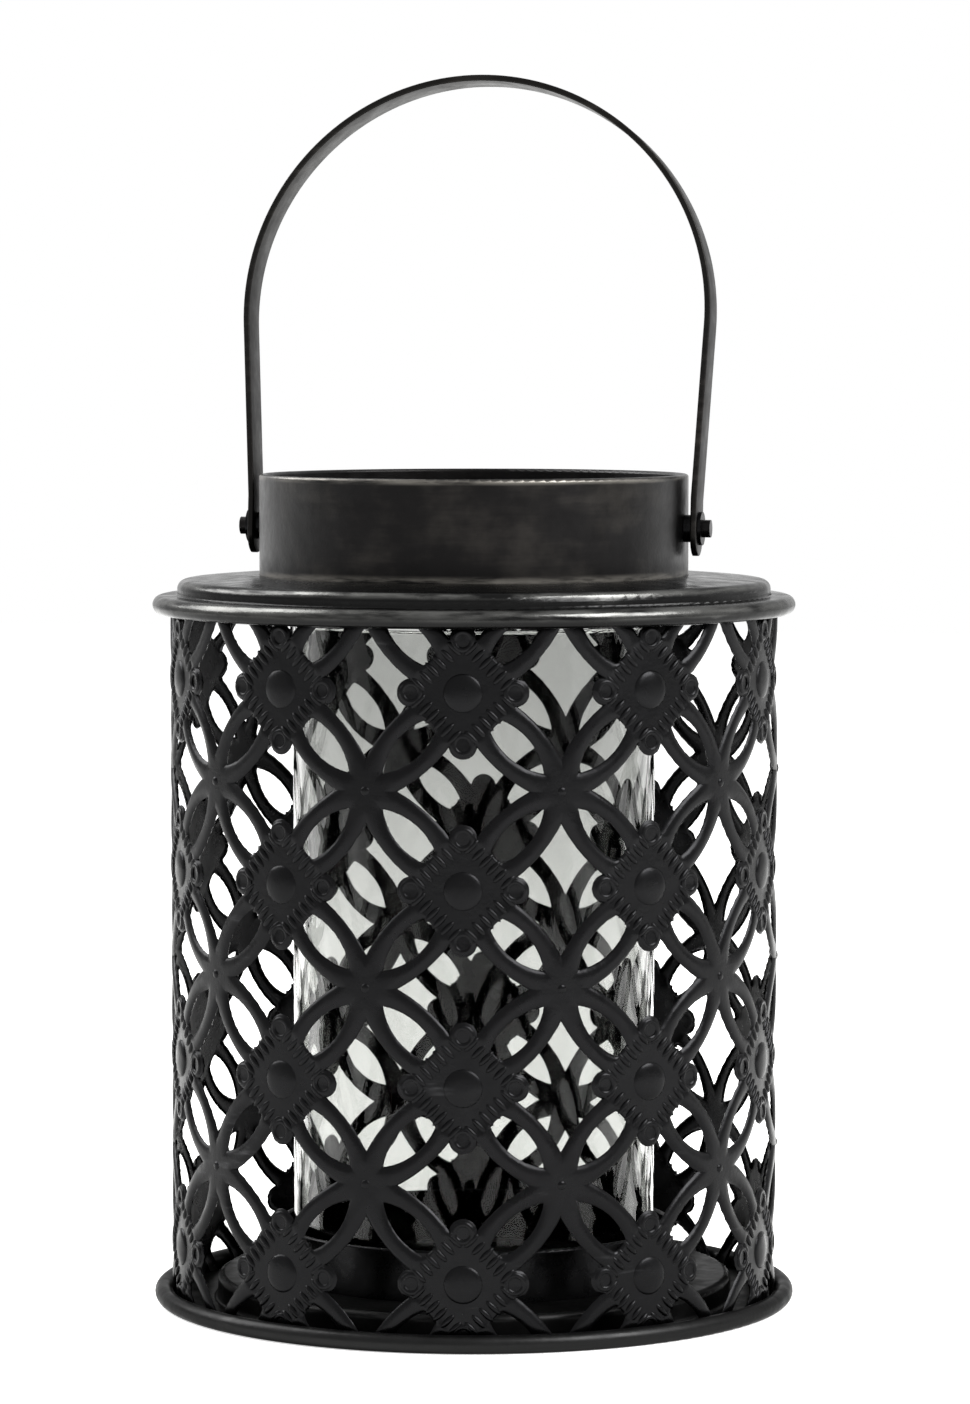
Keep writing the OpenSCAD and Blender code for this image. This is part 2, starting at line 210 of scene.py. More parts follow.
# %% [markdown]
# ## Blackened sheet iron
#
# The metal is mild steel sheet with an antiqued black finish: it was blackened, waxed and rubbed back, so
# rims and edges are a dull grey metal and hollows stay nearly black. To the eye it is dark, with a greasy
# sheen that breaks up where the wax lies unevenly. It could be painted by hand, but noise in real sizes
# looks the same from every side and has no seam.
#
# The colour runs from black wax to rubbed grey steel by streaks 3 mm high and 25 mm long, the way a cloth
# wipes round a cylinder, and by clouds of 50 mm, or of 22 mm on the collar. The roughness follows smudges
# of 8 mm, since thick wax is duller than rubbed metal. Two bumps break the highlights: lumps of 6 mm where
# the sheet was pressed, and a grain of 1 mm, coarser than the real one so that it shows. An edge that
# hands and cloths touch is worn to bare steel, given as circles round the lantern's axis, each with its
# radius, its height and how far its wear reaches.

# %% Where the finish is worn
def near_circles(tree, place, circles):
    """1 on circles round the axis, given as radius, height and reach, and 0 farther off than the reach."""
    flat = add(tree, "ShaderNodeVectorMath", TIMES, _0=place, _1=(1, 1, 0))
    radius = add(tree, "ShaderNodeVectorMath", {"operation": "LENGTH"}, _0=flat).outputs["Value"]
    height = add(tree, "ShaderNodeSeparateXYZ", Vector=place).outputs["Z"]
    here = add(tree, "ShaderNodeCombineXYZ", X=radius, Y=height)
    nearest = 0.0
    for circle_r, circle_z, reach in circles:
        away = add(tree, "ShaderNodeVectorMath", {"operation": "DISTANCE"}, _0=here,
                   _1=(circle_r, circle_z, 0)).outputs["Value"]
        near = add(tree, "ShaderNodeMapRange", SMOOTH, Value=away, From_Min=0, From_Max=reach, To_Min=1,
                   To_Max=0)
        nearest = add(tree, "ShaderNodeMath", LARGER, _0=near, _1=nearest)
    return nearest


RIM_EDGE, TIER_EDGE = (105 * MM, 233.2 * MM, 3 * MM), (97.2 * MM, 238.9 * MM, 1.8 * MM)
HEM_EDGE, COLLAR_FOOT = (71 * MM, 274 * MM, 1.5 * MM), (71 * MM, 242 * MM, 2.2 * MM)
worn_edges = (RIM_EDGE, TIER_EDGE, HEM_EDGE, COLLAR_FOOT)
print("worn edges at heights of", [round(height / MM, 1) for _, height, _ in worn_edges], "mm")

# %% How the iron is finished
STREAK_H, STREAK_L = 3 * MM, 25 * MM
SMUDGE, LUMP, GRAIN = 8 * MM, 6 * MM, 1 * MM
WORN_OVER = 0.22


def blackened_iron(name, wax, rubbed, worn_from, roughness, cloud=50 * MM, cloudy=0.5, bare="#5e5e5c",
                   circles=(), grazing="#ffffff"):
    """An antiqued black finish on sheet iron. Less of it is rubbed bare the higher worn_from is.

    It is wiped in streaks where cloudy is 0 and mottled where it is 1. A darker grazing colour is painted
    shade: it dims what the metal mirrors where one looks along it, as a dark room round the lantern would."""
    material, tree = new_material(name)
    place = add(tree, "ShaderNodeTexCoord").outputs["Object"]
    squeeze = STREAK_H / STREAK_L
    wiped = add(tree, "ShaderNodeMapping", Vector=place, Scale=(squeeze, squeeze, 1))
    streaks = add(tree, "ShaderNodeTexNoise", Vector=wiped, Scale=1 / STREAK_H, Detail=5, Roughness=0.6)
    clouds = add(tree, "ShaderNodeTexNoise", Vector=place, Scale=1 / cloud, Detail=4, Roughness=0.5)
    smudges = add(tree, "ShaderNodeTexNoise", Vector=place, Scale=1 / SMUDGE, Detail=5, Roughness=0.6)
    lumps = add(tree, "ShaderNodeTexNoise", Vector=place, Scale=1 / LUMP, Detail=2, Roughness=0.5)
    grain = add(tree, "ShaderNodeTexNoise", Vector=place, Scale=1 / GRAIN, Detail=2, Roughness=0.5)
    wiping = add(tree, "ShaderNodeMix", {"data_type": "FLOAT"}, Factor=cloudy, _2=streaks.outputs["Fac"],
                 _3=clouds.outputs["Fac"])
    worn = add(tree, "ShaderNodeMapRange", SMOOTH, Value=wiping, From_Min=worn_from,
               From_Max=worn_from + WORN_OVER)
    colour = add(tree, "ShaderNodeMix", {"data_type": "RGBA"}, Factor=worn, _6=linear(wax),
                 _7=linear(rubbed)).outputs[2]
    if circles:
        broken = add(tree, "ShaderNodeMapRange", SMOOTH, Value=streaks.outputs["Fac"], From_Min=0.34,
                     From_Max=0.62)
        edge = add(tree, "ShaderNodeMath", TIMES, _0=near_circles(tree, place, circles), _1=broken)
        colour = add(tree, "ShaderNodeMix", {"data_type": "RGBA"}, Factor=edge, _6=colour,
                     _7=linear(bare)).outputs[2]
    rough = add(tree, "ShaderNodeMapRange", Value=smudges.outputs["Fac"], From_Min=0.3, From_Max=0.7,
                To_Min=roughness - 0.08, To_Max=roughness + 0.1)
    pressed = add(tree, "ShaderNodeBump", Strength=0.45, Distance=0.3 * MM, Height=lumps.outputs["Fac"])
    bump = add(tree, "ShaderNodeBump", Strength=0.2, Distance=0.15 * MM, Height=grain.outputs["Fac"],
               Normal=pressed)
    # Specular_Tint takes the grazing colour, painted shade that dims the reflections seen along the metal.
    iron = add(tree, "ShaderNodeBsdfPrincipled", Base_Color=colour, Roughness=rough, Metallic=0.85,
               Specular_Tint=linear(grazing), Normal=bump)
    add(tree, "ShaderNodeOutputMaterial", Surface=iron)
    return material


print("streaks", round(STREAK_H / MM), "by", round(STREAK_L / MM), "mm")

# %% The lantern's iron finishes
# The grazing colours given here are painted shade: they dim the reflections seen along the metal.
black_iron = blackened_iron("blackened and waxed sheet iron", "#101011", "#4c4c4e", 0.6, 0.28,
                            grazing="#d4d4d4")
rim_iron = blackened_iron("blackened iron with rubbed rims", "#161616", "#565655", 0.57, 0.22,
                          circles=[RIM_EDGE, TIER_EDGE], grazing="#c6c6c6")
tray_iron = blackened_iron("sooty waxed tray iron", "#1d1d1d", "#505050", 0.57, 0.36, grazing="#b0b0b0")
worn_iron = blackened_iron("blackened sheet iron rubbed thin", "#0d0c0c", "#23211f", 0.48, 0.37,
                           cloud=22 * MM, cloudy=0.8, bare="#625f5a", circles=[HEM_EDGE, COLLAR_FOOT])
strap_iron = blackened_iron("thickly waxed strap iron", "#151413", "#2c2a28", 0.5, 0.38, grazing="#d8d8d8")
print("iron finishes:", ", ".join(m.name for m in (black_iron, rim_iron, tray_iron, worn_iron, strap_iron)))

# %% [markdown]
# ## Clear candle glass
#
# The cylinder is drawn soda-lime glass with a fire-polished rim. Its two walls and the grey room behind it
# take about half of the white behind, which a grey tint stands for. The dark sheet round it leaves
# little to mirror, so its reflections are tinted down too, or they would lie over the sheet behind like a
# veil. Drawn tube has faint lengthwise waves, which the eye sees as streaks beside its edges, where one
# looks along the wall. They are too slight to model, so a faint bump stretched along the height bends the
# light a little.

# %% Glass
WAVE_W, WAVE_L = 12 * MM, 800 * MM

glass, tree = new_material("drawn soda-lime glass")
place = add(tree, "ShaderNodeTexCoord").outputs["Object"]
stretch = add(tree, "ShaderNodeMapping", Vector=place, Scale=(1, 1, WAVE_W / WAVE_L))
waves = add(tree, "ShaderNodeTexNoise", Vector=stretch, Scale=1 / WAVE_W, Detail=2)
bump = add(tree, "ShaderNodeBump", Strength=0.035, Distance=0.4 * MM, Height=waves.outputs["Fac"])
clear = add(tree, "ShaderNodeBsdfPrincipled", Base_Color=linear("#bfc0be"), Roughness=0.02, IOR=1.5,
            Specular_Tint=linear("#7a7a7a"), Transmission_Weight=1, Normal=bump)
add(tree, "ShaderNodeOutputMaterial", Surface=clear)
print("glass:", glass.name)

# %% [markdown]
# ## Finishes for the exact solids
#
# The tray, the shoulder, the collar, the glass, its holder, the rivets and the washers are plain round
# shapes. They could be made again with softer edges, but the solids have their rolled rims and rounded
# bends already, so they only need a finish. The collar and the rivets are touched most, so theirs is
# rubbed thin.

# %% Finish the solids
def finish_with(mesh, material):
    """Gives a mesh one finish in place of any that it had."""
    mesh.materials.clear()
    mesh.materials.append(material)


finishes = {"shoulder_plate": rim_iron, "base_tray": tray_iron, "glass_cylinder": glass}
for name in ("collar", "handle_strap", "pivot_rivet_left", "pivot_rivet_right"):
    finishes[name] = worn_iron
for name in nodes:
    finish_with(nodes[name].data, finishes.get(name, black_iron))
print("finishes set on", len(nodes), "pieces")

# %% [markdown]
# ## One square of the pattern
#
# The sheet repeats a square with a medallion in its middle and a quarter of a knot at each corner. Four
# petals run from the medallion to the knots, each a raised band round an almond hole. The square could be
# cut out of a plate, but relief on such a mesh would come out ragged. So it is drawn flat, an eighth at a
# time, from the same arcs that pierce the solid sheet: a petal's hole, its outer edge and a medallion's
# lobe. Mirrored eight ways it makes a seamless tile, so only one eighth has to be right.
#
# Places on the eighth are written as s, along the petal from the medallion, and w, across it, and places
# on the square as u to the right and v up, all in millimetres from the medallion's middle.

# %% The pattern's sizes
COLUMNS, ROWS = 10, 4
ROW_PITCH = 62.4 * MM
SHEET_R, SHEET_T = 100.2 * MM, 0.8 * MM
SHEET_LOW, SHEET_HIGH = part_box("pierced_mantle")[0].z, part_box("pierced_mantle")[1].z
FIRST_ROW = SHEET_LOW + 20.6 * MM
FIRST_COLUMN = math.radians(-80)
COLUMN_PITCH = 2 * math.pi * (SHEET_R - SHEET_T / 2) / COLUMNS

HALF = 62.55 / 2
SPAN = HALF * math.sqrt(2)
HOLE_FROM, HOLE_TO, HOLE_W = 14.6, 36.2, 8.4
HOLE_SIDE_R, HOLE_SIDE_AT = 22.1, 23.24
HOLE_END_R, HOLE_END_AT = 10.8, 25.4
EDGE_R, EDGE_AT, EDGE_W = 51.2, 22.2, 9.5
PLAQUE = 13.7
LOBE_R, LOBE_AT = 4.6, 16.4
print("square of the pattern:", round(COLUMN_PITCH / MM, 2), "by", round(ROW_PITCH / MM, 2), "mm")

# %% The curves of an eighth
def hole_side(s):
    """Half the width of the almond hole at s."""
    side = math.sqrt(max(HOLE_SIDE_R ** 2 - (s - HOLE_SIDE_AT) ** 2, 0)) - (HOLE_SIDE_R - HOLE_W / 2)
    end = math.sqrt(max(HOLE_END_R ** 2 - (s - HOLE_END_AT) ** 2, 0))
    return max(min(side, end), 0)


def petal_side(s):
    """Half the width over a petal at s."""
    return math.sqrt(EDGE_R ** 2 - (s - EDGE_AT) ** 2) - (EDGE_R - EDGE_W)


def along(points, count):
    """The polyline through points, cut into count equal lengths."""
    points = np.array(points, float)
    lengths = np.r_[0, np.cumsum(np.linalg.norm(np.diff(points, axis=0), axis=1))]
    wanted = np.linspace(0, lengths[-1], count + 1)
    return np.c_[np.interp(wanted, lengths, points[:, 0]), np.interp(wanted, lengths, points[:, 1])]


print("petal hole", round(HOLE_TO - HOLE_FROM, 1), "by", round(2 * hole_side(HOLE_SIDE_AT), 1), "mm")

# %% The outlines of an eighth
# Petals part from each other at PART, beside a knot. A petal leaves a lobe at HORN, and WAIST is on the
# plaque's side below it. The hole's points lie closer together at its round end.
PART = np.array([36.87, 7.35])
HORN = np.array([15.43, 9.05])
WAIST = np.array([PLAQUE, PLAQUE * HORN[1] / HORN[0]])
steps = np.linspace(0, 1, 200) ** 2
hole_line = [(s, hole_side(s)) for s in HOLE_FROM + (HOLE_TO - HOLE_FROM) * steps]
hole_line[-1] = (HOLE_TO, 0)
free_line = [(s, petal_side(s)) for s in np.linspace(HORN[0], PART[0], 60)]
print("outlines:", len(hole_line), "points round half a hole,", len(free_line), "along a petal's edge")

# %% [markdown]
# ## The pressed relief
#
# A press tool rolls the sheet over beside every cut edge, so each band is a soft half-round, and where
# four petals meet at a knot the bands run together. A bump in the material could fake that, but real
# relief keeps its outline at the lantern's sides. It is one rule for the whole square: the sheet rises
# with the distance from the nearest edge, as a quarter circle, and then stays level. The medallion's
# middle is a lower plaque.

# %% Height of the sheet at a place
BAND_HALF, BAND_RISE = 2.6, 1.15
PLAQUE_RISE, PLAQUE_SLOPE = 0.6, 2.4


def to_square(points):
    """From s and w to u and v."""
    points = np.asarray(points, float)
    return np.c_[points[:, 0] + points[:, 1], points[:, 0] - points[:, 1]] / math.sqrt(2)


lobe_angles = np.linspace(0, math.pi, 60)
lobe_line = np.c_[LOBE_AT + LOBE_R * np.cos(lobe_angles), LOBE_R * np.sin(lobe_angles)]
lobe_line = lobe_line[lobe_line[:, 0] >= to_square([HORN])[0, 0]]
edges = np.vstack([to_square(along(hole_line, 160)), to_square(along(free_line, 160)), lobe_line])
edges = np.vstack([edges, edges[:, ::-1]])
edges = np.vstack([edges, 2 * HALF - edges])


def sheet_height(u, v):
    """How far the pressed sheet stands out at u, v, in mm."""
    away = np.sqrt(((edges - (u, v)) ** 2).sum(1).min())
    rise = BAND_RISE * math.sqrt(max(1 - (1 - min(away / BAND_HALF, 1)) ** 2, 0))
    s = (abs(u) + abs(v)) / math.sqrt(2)
    plaque = min(max((PLAQUE + PLAQUE_SLOPE / 2 - s) / PLAQUE_SLOPE, 0), 1)
    plaque = plaque * plaque * (3 - 2 * plaque)
    return rise * (1 - plaque) + min(rise, PLAQUE_RISE) * plaque


print("height on a band:", round(sheet_height(*to_square([(25, 6.8)])[0]), 2), "mm; on the plaque:",
      round(sheet_height(0, 0), 2), "mm")

# %% [markdown]
# ## Drawing the square
#
# Filling the outlines with any triangles would leave the highlights ragged. So two kinds of patch cover an
# eighth. One runs round half of the hole in rows, from its edge out to the petal's edge, so that the rows
# follow the band and its highlight stays smooth. The other runs in rings round the medallion. Both are
# mirrored and joined where their points meet, which needs the same steps along the plaque's side and up to
# the horn.

# %% The petal's patch
PLAQUE_STEPS, HORN_STEPS = 6, 2


def petal_patch(rows=6):
    """Rows of points from the hole's edge to the outside of half a petal."""
    outside = np.vstack([
        along([(PLAQUE, 0), WAIST], PLAQUE_STEPS)[:-1], along([WAIST, HORN], HORN_STEPS)[:-1],
        along(free_line, 15)[:-1], along([PART, (SPAN, 0)], 5)])
    inside = along(hole_line, len(outside) - 1)
    across = (1 - np.cos(np.linspace(0, math.pi, rows + 1))) / 2
    return [[tuple(a + (b - a) * x) for x in across] for a, b in zip(inside, outside)]


petal = petal_patch()
print("petal patch:", len(petal), "by", len(petal[0]), "points")

# %% The medallion's patch
def to_petal(u, v):
    """From u and v to s and w."""
    return np.array([u + v, u - v]) / math.sqrt(2)


def medallion_patch(rings=8):
    """Rings of points from the medallion's middle to its edge, for an eighth of it."""
    waist_turn = math.atan2(WAIST[1], WAIST[0])
    turns = list(np.arctan2(along([(PLAQUE, 0), WAIST], PLAQUE_STEPS)[:, 1], PLAQUE))
    lobe_turns = np.linspace(waist_turn, math.pi / 4, 6)
    shares = [k / rings for k in range(rings + 1)]
    grid = []
    for turn in turns + list(lobe_turns[1:]):
        way = np.array([math.cos(turn), math.sin(turn)])
        corner = PLAQUE / math.cos(turn)
        ray = [tuple(way * share * (corner * share ** 2 + (1 - share ** 2) * PLAQUE)) for share in shares]
        if turn >= waist_turn - 1e-9:
            centre = to_petal(LOBE_AT, 0)
            reach = way @ centre + math.sqrt(LOBE_R ** 2 - centre @ centre + (way @ centre) ** 2)
            edge = HORN if abs(turn - waist_turn) < 1e-9 else way * reach
            corner = np.array(ray[-1])
            ray += [tuple(corner + (edge - corner) * k / HORN_STEPS) for k in range(1, HORN_STEPS + 1)]
        grid.append(ray)
    return grid


medallion = medallion_patch()
print("medallion patch:", len(medallion), "rays of", len(medallion[0]), "to", len(medallion[-1]), "points")

# %% The flat tile
def keep(made, name):
    """Turns the mesh being made into an object."""
    mesh = bpy.data.meshes.new(name)
    made.to_mesh(mesh)
    made.free()
    return bpy.data.objects.new(name, mesh)


def flat_tile():
    """The pattern's square as a mesh: x to the right, y up and z out of the sheet, in metres."""
    made = bmesh.new()
    wide, tall = COLUMN_PITCH / (2 * HALF * MM), ROW_PITCH / (2 * HALF * MM)
    for grid in (petal, medallion):
        for a, b in zip(grid, grid[1:]):
            for k in range(min(len(a), len(b)) - 1):
                places = to_square([a[k], a[k + 1], b[k + 1], b[k]])
                corners = [(u, v, sheet_height(u, v)) for u, v in places]
                for swap, mu, mv in product((False, True), (1, -1), (1, -1)):
                    made.faces.new([made.verts.new((mu * (v if swap else u) * MM * wide,
                                                    mv * (u if swap else v) * MM * tall, h * MM))
                                    for u, v, h in corners])
    bmesh.ops.remove_doubles(made, verts=made.verts, dist=0.02 * MM)
    bmesh.ops.dissolve_degenerate(made, edges=made.edges, dist=0.01 * MM)
    bmesh.ops.recalc_face_normals(made, faces=made.faces)
    if sum(f.normal.z for f in made.faces) < 0:
        bmesh.ops.reverse_faces(made, faces=made.faces)
    return keep(made, "pattern tile")


tile = flat_tile()
print("tile:", len(tile.data.polygons), "faces")

# %% [markdown]
# ## Rolling the sheet
#
# A press makes the flat sheet square by square, and then it is rolled into a cylinder. A Geometry Nodes
# tree does the same: it lays the tile out on a grid, joins the squares, and bends the sheet round the
# lantern. Stacked modifiers could do it too, but one tree keeps all its numbers in one place. Its inputs
# are what a maker would change: how many squares, how far apart, and the radius. Near the sheet's lower
# and upper edges the relief fades, as it must to slip inside the rolled rims.

# %% Lay the squares out
JOIN_WITHIN = 0.03 * MM


def lay_out(tree, given):
    """Adds the nodes that copy the tile onto a grid and join the copies. It gives the grid's size too."""
    columns = add(tree, "ShaderNodeMath", MINUS, _0=given["Columns"], _1=1)
    rows = add(tree, "ShaderNodeMath", MINUS, _0=given["Rows"], _1=1)
    across = add(tree, "ShaderNodeMath", TIMES, _0=columns, _1=given["Column pitch"])
    up = add(tree, "ShaderNodeMath", TIMES, _0=rows, _1=given["Row pitch"])
    grid = add(tree, "GeometryNodeMeshGrid", Size_X=across, Size_Y=up, Vertices_X=given["Columns"],
               Vertices_Y=given["Rows"])
    laid = add(tree, "GeometryNodeInstanceOnPoints", Points=grid, Instance=given["Geometry"])
    flat = add(tree, "GeometryNodeRealizeInstances", Geometry=laid)
    joined = add(tree, "GeometryNodeMergeByDistance", Geometry=flat, Distance=JOIN_WITHIN)
    return joined, across, up


print("squares are joined within", round(JOIN_WITHIN / MM, 2), "mm")

# %% Bend the sheet round
FADE_FROM, FADE_TO, FADED = 2.5 * MM, 6.5 * MM, 0.35


def bend(tree, given, across, up):
    """Adds the nodes that work out where each point of the flat sheet lies once it is rolled."""
    place = add(tree, "ShaderNodeSeparateXYZ", Vector=add(tree, "GeometryNodeInputPosition")).outputs
    half_up = add(tree, "ShaderNodeMath", TIMES, _0=up, _1=0.5)
    above_first = add(tree, "ShaderNodeMath", PLUS, _0=place["Y"], _1=half_up)
    z = add(tree, "ShaderNodeMath", PLUS, _0=above_first, _1=given["First row"])
    over_low = add(tree, "ShaderNodeMath", MINUS, _0=z, _1=given["Low edge"])
    under_high = add(tree, "ShaderNodeMath", MINUS, _0=given["High edge"], _1=z)
    from_edge = add(tree, "ShaderNodeMath", SMALLER, _0=over_low, _1=under_high)
    fade = add(tree, "ShaderNodeMapRange", SMOOTH, Value=from_edge, From_Min=FADE_FROM, From_Max=FADE_TO,
               To_Min=FADED, To_Max=1)
    relief = add(tree, "ShaderNodeMath", TIMES, _0=place["Z"], _1=fade)
    out = add(tree, "ShaderNodeMath", PLUS, _0=relief, _1=given["Radius"])
    half_across = add(tree, "ShaderNodeMath", TIMES, _0=across, _1=0.5)
    past_first = add(tree, "ShaderNodeMath", PLUS, _0=place["X"], _1=half_across)
    length = add(tree, "ShaderNodeMath", TIMES, _0=given["Column pitch"], _1=given["Columns"])
    middle_r = add(tree, "ShaderNodeMath", OVER, _0=length, _1=2 * math.pi)
    rolled_by = add(tree, "ShaderNodeMath", OVER, _0=past_first, _1=middle_r)
    turn = add(tree, "ShaderNodeMath", PLUS, _0=rolled_by, _1=given["First column"])
    cosine = add(tree, "ShaderNodeMath", {"operation": "COSINE"}, _0=turn)
    sine = add(tree, "ShaderNodeMath", {"operation": "SINE"}, _0=turn)
    x = add(tree, "ShaderNodeMath", TIMES, _0=out, _1=cosine)
    y = add(tree, "ShaderNodeMath", TIMES, _0=out, _1=sine)
    return add(tree, "ShaderNodeCombineXYZ", X=x, Y=y, Z=z)


print("relief fades to", FADED, "within", round(FADE_FROM / MM, 1), "mm of the sheet's edges")

# %% The rolling tree
def rolling_tree(name):
    """The tree that lays the tile out and rolls the sheet up, with an input for each size."""
    tree = bpy.data.node_groups.new(name, "GeometryNodeTree")
    kinds = {"Geometry": "Geometry", "Columns": "Int", "Rows": "Int", "Column pitch": "Float",
             "Row pitch": "Float", "Radius": "Float", "First column": "Float", "First row": "Float",
             "Low edge": "Float", "High edge": "Float", "Finish": "Material"}
    for label, kind in kinds.items():
        tree.interface.new_socket(label, in_out="INPUT", socket_type="NodeSocket" + kind)
    tree.interface.new_socket("Geometry", in_out="OUTPUT", socket_type="NodeSocketGeometry")
    given = add(tree, "NodeGroupInput").outputs
    joined, across, up = lay_out(tree, given)
    bent = add(tree, "GeometryNodeSetPosition", Geometry=joined, Position=bend(tree, given, across, up))
    closed = add(tree, "GeometryNodeMergeByDistance", Geometry=bent, Distance=JOIN_WITHIN)
    plain = add(tree, "GeometryNodeRealizeInstances", Geometry=closed)
    finished = add(tree, "GeometryNodeSetMaterial", Geometry=plain, Material=given["Finish"])
    add(tree, "NodeGroupOutput", Geometry=finished)
    return tree


rolling = rolling_tree("roll the pattern into a cylinder")
print("tree:", rolling.name, "with", len(rolling.nodes), "nodes")

# %% Roll and keep a plain mesh
ROLL_R = 99.4 * MM


def plain_mesh(piece):
    """The mesh of a piece with its modifiers at work. They are then taken off."""
    depsgraph = bpy.context.evaluated_depsgraph_get()
    mesh = bpy.data.meshes.new_from_object(piece.evaluated_get(depsgraph), depsgraph=depsgraph)
    piece.modifiers.clear()
    return mesh


def roll(flat, name, rows=ROWS, first_row=FIRST_ROW):
    """Runs the rolling tree on a flat object and keeps the result as a plain mesh."""
    scene.collection.objects.link(flat)
    modifier = flat.modifiers.new("roll", "NODES")
    modifier.node_group = rolling
    values = {"Columns": COLUMNS, "Rows": rows, "Column pitch": COLUMN_PITCH, "Row pitch": ROW_PITCH,
              "Radius": ROLL_R, "First column": FIRST_COLUMN, "First row": first_row,
              "Low edge": SHEET_LOW, "High edge": SHEET_HIGH, "Finish": black_iron}
    for item in rolling.interface.items_tree:
        if item.item_type == "SOCKET" and item.in_out == "INPUT" and item.name in values:
            modifier[item.identifier] = values[item.name]
    mesh = plain_mesh(flat)
    bpy.data.objects.remove(flat)
    mesh.name = name
    return mesh


sheet = roll(tile, "rolled sheet")
print("rolled sheet:", len(sheet.polygons), "faces")

# %% Trim the sheet to its height
TRIM = 0.1 * MM


def cut(made, point, towards):
    """Cuts the mesh being made along a plane and keeps only the side that the plane faces towards."""
    everything = made.verts[:] + made.edges[:] + made.faces[:]
    bmesh.ops.bisect_plane(made, geom=everything, dist=1e-6, plane_co=point, plane_no=towards,
                           clear_inner=True)


made = bmesh.new()
made.from_mesh(sheet)
cut(made, (0, 0, SHEET_LOW + TRIM), (0, 0, 1))
cut(made, (0, 0, SHEET_HIGH - TRIM), (0, 0, -1))
made.to_mesh(sheet)
made.free()
print("trimmed sheet:", len(sheet.polygons), "faces")

# %% [markdown]
# ## Thickness, in two halves
#
# The real sheet is about 0.8 mm thick, which shows at every cut edge as a thin bright line. Both sides
# could be drawn, but the rolled surface serves as the outside, and one modifier adds the wall inwards. The
# sheet is parted into a front and a back half, so that neither mesh gets too heavy, and both ride with the
# lantern's body.

# %% Halves of the rolled sheet
def half_of_the_sheet(name, sign):
    """The front or the back half of the sheet, parted between two columns at each side."""
    half = bpy.data.objects.new(name, sheet.copy())
    scene.collection.objects.link(half)
    made = bmesh.new()
    made.from_mesh(half.data)
    parting = FIRST_COLUMN + math.pi / 2
    far = [f for f in made.faces if sign * math.sin(math.atan2(*f.calc_center_median().yx) - parting) > 0]
    bmesh.ops.delete(made, geom=far, context="FACES")
    made.to_mesh(half.data)
    made.free()
    return half


def shade(mesh, sharp_from):
    """Shades a mesh smooth but for its edges that turn by more than sharp_from, in degrees."""
    mesh.shade_smooth()
    mesh.set_sharp_from_angle(angle=math.radians(sharp_from))


def thicken(piece, thickness):
    """Gives a surface a wall on its inner side."""
    wall = piece.modifiers.new("wall", "SOLIDIFY")
    wall.thickness, wall.offset = thickness, -1
    piece.data = plain_mesh(piece)
    shade(piece.data, 50)
    finish_with(piece.data, black_iron)


for name, sign in (("pierced_sheet_front", 1), ("pierced_sheet_back", -1)):
    half = half_of_the_sheet(name, sign)
    thicken(half, SHEET_T)
    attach(half, "lantern")
    half.data.calc_loop_triangles()
    print(name, len(half.data.loop_triangles), "triangles")
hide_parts("pierced_mantle")
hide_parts("pierced_mantle")

# %% [markdown]
# ## The lap at the back
#
# The rolled sheet is closed where its ends overlap, at the back between two columns. The inner end shows
# through the openings as a second layer. The sheet could be rolled with two free ends, but closed all
# round it stays seamless, so a narrow strip is cut from it and set inside instead.

# %% The lap
LAP_W, LAP_T, LAP_IN = 7 * MM, 0.75 * MM, 0.85 * MM
LAP_TURN = FIRST_COLUMN + 2 * math.pi / COLUMNS * (COLUMNS // 2 + 0.5)


def lap_strip():
    """The strip of the sheet round LAP_TURN, moved in by a little more than the sheet's thickness."""
    made = bmesh.new()
    made.from_mesh(sheet)
    half_turn = LAP_W / 2 / SHEET_R
    for turn, sign in ((LAP_TURN - half_turn, 1), (LAP_TURN + half_turn, -1)):
        cut(made, (0, 0, 0), Vector((-math.sin(turn), math.cos(turn), 0)) * sign)
    far = [f for f in made.faces if math.cos(math.atan2(*f.calc_center_median().yx) - LAP_TURN) < 0]
    bmesh.ops.delete(made, geom=far, context="FACES")
    for vertex in made.verts:
        radius = vertex.co.xy.length
        vertex.co.xy *= (radius - LAP_IN) / radius
    return keep(made, "sheet_lap")


lap = lap_strip()
scene.collection.objects.link(lap)
thicken(lap, LAP_T)
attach(lap, "lantern")
print("lap:", len(lap.data.polygons), "faces")

# %% [markdown]
# ## The small pressed forms
#
# Each medallion carries a domed boss, six short ridges along each of its four sides, and a round outline
# on each lobe, and each knot has a small dot. In the tile's own mesh they would need far more points
# everywhere. They are the same on every square, so they are drawn once on the flat square, each as a small
# closed form with few faces, and the tree that rolls the sheet rolls them too.

# %% Domes
def dome(made, centre, along_turn, half_length, half_width, height, sides, rings):
    """A low round or long hill with a closed underside, at a centre (u, v, z) on the flat square, in mm."""
    u0, v0, z0 = centre
    lines = []
    for ring in range(rings + 1):
        lift = math.pi / 2 * ring / rings
        line = []
        for k in range(sides if ring < rings else 1):
            a = 2 * math.pi * k / sides
            x, y = half_length * math.cos(lift) * math.cos(a), half_width * math.cos(lift) * math.sin(a)
            u = u0 + x * math.cos(along_turn) - y * math.sin(along_turn)
            v = v0 + x * math.sin(along_turn) + y * math.cos(along_turn)
            line.append(made.verts.new((u * MM, v * MM, (z0 + height * math.sin(lift)) * MM)))
        lines.append(line)
    for low, high in zip(lines, lines[1:-1]):
        for k in range(sides):
            made.faces.new((low[k], low[(k + 1) % sides], high[(k + 1) % sides], high[k]))
    for k in range(sides):
        made.faces.new((lines[-2][k], lines[-2][(k + 1) % sides], lines[-1][0]))
    made.faces.new(lines[0][::-1])


